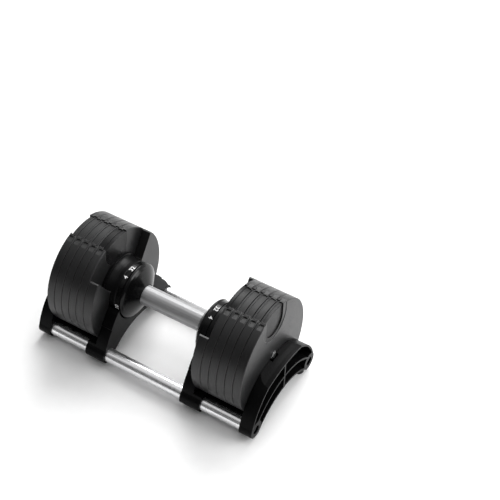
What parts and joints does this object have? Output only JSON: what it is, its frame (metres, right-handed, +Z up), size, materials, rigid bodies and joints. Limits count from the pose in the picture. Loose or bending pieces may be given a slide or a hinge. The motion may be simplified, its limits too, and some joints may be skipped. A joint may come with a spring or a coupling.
{
  "type": "adjustable dumbbell in cradle",
  "caption": "Twist-handle adjustable dumbbell with interlocking round plates, resting in a cradle of moulded ends joined by metal tubes.",
  "frame": {"origin": "on the surface the cradle stands on, under the middle of the handle", "axes": "+X along the handle, +Y across the cradle towards the side away from the user, +Z up"},
  "size_m": [0.4, 0.1916, 0.1879],
  "materials": {
    "plate_iron": "satin black coating over cast iron, fine turned grain",
    "hub_plastic": "black, satin",
    "dial_plastic": "black, glossy, white numbers",
    "cradle_plastic": "black, satin moulding",
    "grip_aluminium": "bead-blasted satin",
    "tube_aluminium": "drawn, bright",
    "cam_steel": "turned, oiled",
    "steel": "zinc plated",
    "washer_plastic": "plain",
    "rubber": "matte"
  },
  "bodies": {
    "cradle": {"end_arch_left": "cradle_plastic", "end_arch_right": "cradle_plastic", "saddle_left": "cradle_plastic", "saddle_right": "cradle_plastic", "front_rail_left": "cradle_plastic", "rear_rail_left": "cradle_plastic", "front_rail_right": "cradle_plastic", "rear_rail_right": "cradle_plastic", "front_tube": "tube_aluminium", "rear_tube": "tube_aluminium", "tube_screws": "steel", "rubber_feet": "rubber"},
    "handle": {"hub_left": "hub_plastic", "hub_right": "hub_plastic", "guide_tube": "cam_steel", "thrust_washers": "washer_plastic", "hub_pins": "steel", "inner_plate_left": "plate_iron", "inner_plate_right": "plate_iron", "inner_plate_screws": "steel", "lock_spring_left": "steel", "lock_spring_right": "steel"},
    "grip": {"grip_tube": "grip_aluminium", "cam_sleeve": "cam_steel", "dial_left": "dial_plastic", "dial_right": "dial_plastic", "dial_screws": "steel"},
    "rod_left": {"rod_left": "steel", "follower_pin_left": "steel"},
    "rod_right": {"rod_right": "steel", "follower_pin_right": "steel"},
    "lock_pin_left": {"lock_pin_left": "steel"},
    "lock_pin_right": {"lock_pin_right": "steel"},
    "plate_left_2": {"plate_left_2": "plate_iron"},
    "plate_left_3": {"plate_left_3": "plate_iron"},
    "plate_left_4": {"plate_left_4": "plate_iron"},
    "plate_left_5": {"plate_left_5": "plate_iron"},
    "plate_left_6": {"plate_left_6": "plate_iron", "bore_cap_left": "steel"},
    "plate_right_2": {"plate_right_2": "plate_iron"},
    "plate_right_3": {"plate_right_3": "plate_iron"},
    "plate_right_4": {"plate_right_4": "plate_iron"},
    "plate_right_5": {"plate_right_5": "plate_iron"},
    "plate_right_6": {"plate_right_6": "plate_iron", "bore_cap_right": "steel"}
  },
  "joints": [
    {"name": "handle_lift", "type": "slide", "parent": "cradle", "child": "handle", "axis": [0, 0, 1], "range_m": [0, 0.12]},
    {"name": "grip_twist", "type": "hinge", "parent": "handle", "child": "grip", "pos_m": [0, 0, 0.0958], "axis": [-1, 0, 0], "range_deg": [0, 337.5]},
    {"name": "rod_left_slide", "type": "slide", "parent": "handle", "child": "rod_left", "axis": [1, 0, 0], "range_m": [0, 0.0709]},
    {"name": "rod_right_slide", "type": "slide", "parent": "handle", "child": "rod_right", "axis": [-1, 0, 0], "range_m": [0, 0.0709]},
    {"name": "lock_pin_left_slide", "type": "slide", "parent": "handle", "child": "lock_pin_left", "axis": [0, 0, -1], "range_m": [0, 0.006], "deforming": ["lock_spring_left"]},
    {"name": "lock_pin_right_slide", "type": "slide", "parent": "handle", "child": "lock_pin_right", "axis": [0, 0, -1], "range_m": [0, 0.006], "deforming": ["lock_spring_right"]},
    {"name": "plate_left_2_lift", "type": "slide", "parent": "cradle", "child": "plate_left_2", "axis": [0, 0, 1], "range_m": [0, 0.12]},
    {"name": "plate_left_3_lift", "type": "slide", "parent": "cradle", "child": "plate_left_3", "axis": [0, 0, 1], "range_m": [0, 0.12]},
    {"name": "plate_left_4_lift", "type": "slide", "parent": "cradle", "child": "plate_left_4", "axis": [0, 0, 1], "range_m": [0, 0.12]},
    {"name": "plate_left_5_lift", "type": "slide", "parent": "cradle", "child": "plate_left_5", "axis": [0, 0, 1], "range_m": [0, 0.12]},
    {"name": "plate_left_6_lift", "type": "slide", "parent": "cradle", "child": "plate_left_6", "axis": [0, 0, 1], "range_m": [0, 0.12]},
    {"name": "plate_right_2_lift", "type": "slide", "parent": "cradle", "child": "plate_right_2", "axis": [0, 0, 1], "range_m": [0, 0.12]},
    {"name": "plate_right_3_lift", "type": "slide", "parent": "cradle", "child": "plate_right_3", "axis": [0, 0, 1], "range_m": [0, 0.12]},
    {"name": "plate_right_4_lift", "type": "slide", "parent": "cradle", "child": "plate_right_4", "axis": [0, 0, 1], "range_m": [0, 0.12]},
    {"name": "plate_right_5_lift", "type": "slide", "parent": "cradle", "child": "plate_right_5", "axis": [0, 0, 1], "range_m": [0, 0.12]},
    {"name": "plate_right_6_lift", "type": "slide", "parent": "cradle", "child": "plate_right_6", "axis": [0, 0, 1], "range_m": [0, 0.12]}
  ],
  "couplings": [
    {"joint": "rod_left_slide", "follows": "grip_twist", "m_per_rad": 0.012036},
    {"joint": "rod_right_slide", "follows": "grip_twist", "m_per_rad": 0.012036},
    {"joint": "lock_pin_left_slide", "follows": "handle_lift", "ratio": 0.05},
    {"joint": "lock_pin_right_slide", "follows": "handle_lift", "ratio": 0.05},
    {"joint": "plate_left_2_lift", "follows": "handle_lift", "ratio": 1},
    {"joint": "plate_left_3_lift", "follows": "handle_lift", "ratio": 1},
    {"joint": "plate_left_4_lift", "follows": "handle_lift", "ratio": 1},
    {"joint": "plate_left_5_lift", "follows": "handle_lift", "ratio": 1},
    {"joint": "plate_left_6_lift", "follows": "handle_lift", "ratio": 1},
    {"joint": "plate_right_2_lift", "follows": "handle_lift", "ratio": 1},
    {"joint": "plate_right_3_lift", "follows": "handle_lift", "ratio": 1},
    {"joint": "plate_right_4_lift", "follows": "handle_lift", "ratio": 1},
    {"joint": "plate_right_5_lift", "follows": "handle_lift", "ratio": 1},
    {"joint": "plate_right_6_lift", "follows": "handle_lift", "ratio": 1}
  ]
}
